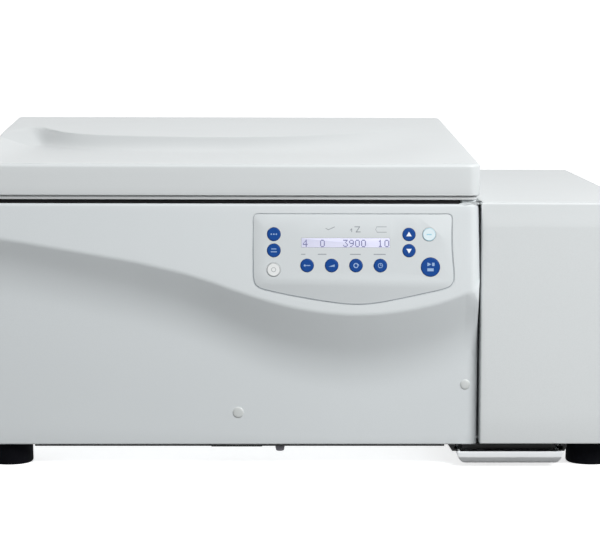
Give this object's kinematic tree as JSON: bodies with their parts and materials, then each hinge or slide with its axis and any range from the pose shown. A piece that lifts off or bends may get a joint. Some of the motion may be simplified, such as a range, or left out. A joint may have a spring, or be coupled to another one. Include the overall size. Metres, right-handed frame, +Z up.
{
  "type": "refrigerated bench centrifuge",
  "caption": "Refrigerated bench centrifuge with a hinged lid over a swing-bucket rotor, a keypad and display on its front, and a cooling unit at its side.",
  "frame": {"origin": "on the bench, under the middle of the whole instrument", "axes": "+X to the right seen from the front, along the instrument's width, -Y to the front, +Z up"},
  "size_m": [0.7, 0.6099, 0.3468],
  "materials": {
    "housing": "satin",
    "steel_cover": "satin",
    "liner": "satin",
    "overlay": "satin",
    "display": "gloss",
    "key_blue": "satin",
    "key_pale": "satin",
    "key_grey": "satin",
    "plug": "satin",
    "board": "satin",
    "rubber": "matte",
    "seal": "matte",
    "black_plastic": "matte",
    "sheet_steel": "satin",
    "stainless": "satin",
    "armour": "satin",
    "machined_steel": "satin",
    "foam": "matte",
    "copper": "satin",
    "cast_alloy": "satin",
    "rotor_alloy": "satin",
    "bucket_alloy": "satin",
    "fins": "satin",
    "black_steel": "satin",
    "tray": "satin"
  },
  "bodies": {
    "frame": {"front_panel": "housing", "top_deck": "housing", "housing_cover": "steel_cover", "cooling_unit_cover": "steel_cover", "rear_grille": "steel_cover", "control_overlay": "overlay", "display_module": "display", "blind_plugs": "plug", "control_board": "board", "rubber_feet": "rubber", "lid_seals": "seal", "chassis_screws": "machined_steel", "hinge_pins": "machined_steel", "lid_springs": "machined_steel", "base_plate": "sheet_steel", "rotor_chamber": "stainless", "evaporator_coil": "copper", "chamber_insulation": "foam", "armour_ring": "armour", "motor_housing": "cast_alloy", "motor_bearings": "machined_steel", "motor_mounts": "rubber", "compressor": "black_steel", "condenser": "fins", "fan_shroud": "sheet_steel", "refrigerant_pipes": "copper", "power_entry": "black_plastic", "power_electronics": "cast_alloy", "drain_tube": "black_plastic", "underside_brackets": "black_plastic", "hinge_brackets": "sheet_steel", "latch_guides": "black_plastic"},
    "lid": {"lid_cover": "housing", "lid_liner": "liner", "lid_insulation": "foam", "lid_hinge_leaves": "sheet_steel", "lid_strikers": "machined_steel"},
    "rotor": {"drive_shaft": "machined_steel", "rotor_head": "rotor_alloy", "rotor_nut": "machined_steel"},
    "bucket_1": {"bucket_1": "bucket_alloy"},
    "bucket_2": {"bucket_2": "bucket_alloy"},
    "bucket_3": {"bucket_3": "bucket_alloy"},
    "bucket_4": {"bucket_4": "bucket_alloy"},
    "tray": {"drip_tray": "tray"},
    "fan": {"condenser_fan": "black_plastic"},
    "switch": {"power_switch": "black_plastic"},
    "release": {"release_pull": "black_plastic"},
    "lock": {"lock_bar": "machined_steel"},
    "key_left_top": {"button_left_top": "key_blue"},
    "key_left_middle": {"button_left_middle": "key_blue"},
    "key_lid_open": {"button_lid_open": "key_grey"},
    "key_set_1": {"button_set_1": "key_blue"},
    "key_set_2": {"button_set_2": "key_blue"},
    "key_set_3": {"button_set_3": "key_blue"},
    "key_set_4": {"button_set_4": "key_blue"},
    "key_up": {"button_up": "key_blue"},
    "key_down": {"button_down": "key_blue"},
    "key_short_spin": {"button_short_spin": "key_pale"},
    "key_start_stop": {"button_start_stop": "key_blue"}
  },
  "joints": [
    {"name": "lid_hinge", "type": "hinge", "parent": "frame", "child": "lid", "pos_m": [-0.083, 0.297, 0.283], "axis": [-1, 0, 0], "range_deg": [0, 80]},
    {"name": "rotor_spin", "type": "hinge", "parent": "frame", "child": "rotor", "pos_m": [-0.083, 0, 0.15], "axis": [0, 0, 1], "continuous": true},
    {"name": "fan_spin", "type": "hinge", "parent": "frame", "child": "fan", "pos_m": [0.268, 0.234, 0.15], "axis": [0, 1, 0], "continuous": true},
    {"name": "lock_slide", "type": "slide", "parent": "frame", "child": "lock", "axis": [1, 0, 0], "range_m": [0, 0.01]},
    {"name": "tray_slide", "type": "slide", "parent": "frame", "child": "tray", "axis": [0, -1, 0], "range_m": [0, 0.15]},
    {"name": "release_slide", "type": "slide", "parent": "frame", "child": "release", "axis": [0, 0, -1], "range_m": [0, 0.01], "stiffness_N_per_m": 400},
    {"name": "switch_rock", "type": "hinge", "parent": "frame", "child": "switch", "pos_m": [-0.271, 0.282, 0.063], "axis": [1, 0, 0], "range_deg": [0, 16]},
    {"name": "bucket_1_swing", "type": "hinge", "parent": "rotor", "child": "bucket_1", "pos_m": [0.009, 0, 0.212], "axis": [0, -1, 0], "range_deg": [0, 90]},
    {"name": "bucket_2_swing", "type": "hinge", "parent": "rotor", "child": "bucket_2", "pos_m": [-0.083, 0.092, 0.212], "axis": [1, 0, 0], "range_deg": [0, 90]},
    {"name": "bucket_3_swing", "type": "hinge", "parent": "rotor", "child": "bucket_3", "pos_m": [-0.175, 0, 0.212], "axis": [0, 1, 0], "range_deg": [0, 90]},
    {"name": "bucket_4_swing", "type": "hinge", "parent": "rotor", "child": "bucket_4", "pos_m": [-0.083, -0.092, 0.212], "axis": [-1, 0, 0], "range_deg": [0, 90]},
    {"name": "press_left_top", "type": "slide", "parent": "frame", "child": "key_left_top", "axis": [0, 0.9945, -0.1045], "range_m": [0, 0.0006], "stiffness_N_per_m": 900},
    {"name": "press_left_middle", "type": "slide", "parent": "frame", "child": "key_left_middle", "axis": [0, 0.9945, -0.1045], "range_m": [0, 0.0006], "stiffness_N_per_m": 900},
    {"name": "press_lid_open", "type": "slide", "parent": "frame", "child": "key_lid_open", "axis": [0, 0.9945, -0.1045], "range_m": [0, 0.0006], "stiffness_N_per_m": 900},
    {"name": "press_set_1", "type": "slide", "parent": "frame", "child": "key_set_1", "axis": [0, 0.9945, -0.1045], "range_m": [0, 0.0006], "stiffness_N_per_m": 900},
    {"name": "press_set_2", "type": "slide", "parent": "frame", "child": "key_set_2", "axis": [0, 0.9945, -0.1045], "range_m": [0, 0.0006], "stiffness_N_per_m": 900},
    {"name": "press_set_3", "type": "slide", "parent": "frame", "child": "key_set_3", "axis": [0, 0.9945, -0.1045], "range_m": [0, 0.0006], "stiffness_N_per_m": 900},
    {"name": "press_set_4", "type": "slide", "parent": "frame", "child": "key_set_4", "axis": [0, 0.9945, -0.1045], "range_m": [0, 0.0006], "stiffness_N_per_m": 900},
    {"name": "press_up", "type": "slide", "parent": "frame", "child": "key_up", "axis": [0, 0.9945, -0.1045], "range_m": [0, 0.0006], "stiffness_N_per_m": 900},
    {"name": "press_down", "type": "slide", "parent": "frame", "child": "key_down", "axis": [0, 0.9945, -0.1045], "range_m": [0, 0.0006], "stiffness_N_per_m": 900},
    {"name": "press_short_spin", "type": "slide", "parent": "frame", "child": "key_short_spin", "axis": [0, 0.9945, -0.1045], "range_m": [0, 0.0006], "stiffness_N_per_m": 900},
    {"name": "press_start_stop", "type": "slide", "parent": "frame", "child": "key_start_stop", "axis": [0, 0.9945, -0.1045], "range_m": [0, 0.0006], "stiffness_N_per_m": 900}
  ]
}
